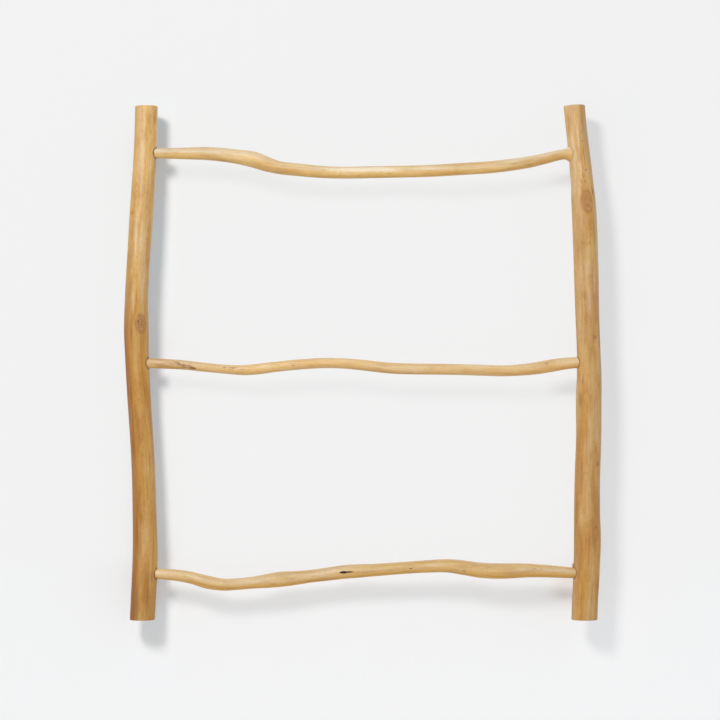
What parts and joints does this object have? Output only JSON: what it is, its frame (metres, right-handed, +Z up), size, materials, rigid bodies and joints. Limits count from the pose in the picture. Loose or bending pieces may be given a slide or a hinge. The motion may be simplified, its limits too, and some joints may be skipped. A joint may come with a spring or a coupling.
{
  "type": "wall towel rack",
  "caption": "Wall-hung towel rack of debarked branches: crooked upright posts, wavy rungs in pegged sockets, and stand-off blocks with keyhole hangers behind.",
  "frame": {"origin": "point on the wall plane midway between the two hanger plates, level with the centres of their keyholes' upper ends, where the wall screws carry the rack", "axes": "+Z up along the posts, +Y into the wall, +X to the viewer's right, front towards -Y"},
  "size_m": [0.7158, 0.0708, 0.7755],
  "materials": {
    "post_wood": "smooth debarked branch, clear satin finish, golden tan",
    "rung_wood": "smooth debarked branch, clear satin finish, pale honey",
    "block_wood": "sawn and sanded, golden brown",
    "peg_wood": "turned peg, bare",
    "zinc_steel": "bright zinc plate",
    "felt": "pressed grey-brown felt"
  },
  "bodies": {
    "root": {"left_post": "post_wood", "right_post": "post_wood", "top_rung": "rung_wood", "middle_rung": "rung_wood", "bottom_rung": "rung_wood", "left_top_peg": "peg_wood", "left_middle_peg": "peg_wood", "left_bottom_peg": "peg_wood", "right_top_peg": "peg_wood", "right_middle_peg": "peg_wood", "right_bottom_peg": "peg_wood", "left_upper_block": "block_wood", "left_lower_block": "block_wood", "right_upper_block": "block_wood", "right_lower_block": "block_wood", "left_upper_block_screw_1": "zinc_steel", "left_upper_block_screw_2": "zinc_steel", "left_lower_block_screw_1": "zinc_steel", "left_lower_block_screw_2": "zinc_steel", "right_upper_block_screw_1": "zinc_steel", "right_upper_block_screw_2": "zinc_steel", "right_lower_block_screw_1": "zinc_steel", "right_lower_block_screw_2": "zinc_steel", "left_hanger_plate": "zinc_steel", "right_hanger_plate": "zinc_steel", "left_plate_screw_1": "zinc_steel", "left_plate_screw_2": "zinc_steel", "right_plate_screw_1": "zinc_steel", "right_plate_screw_2": "zinc_steel", "left_wall_pad": "felt", "right_wall_pad": "felt"}
  },
  "joints": []
}
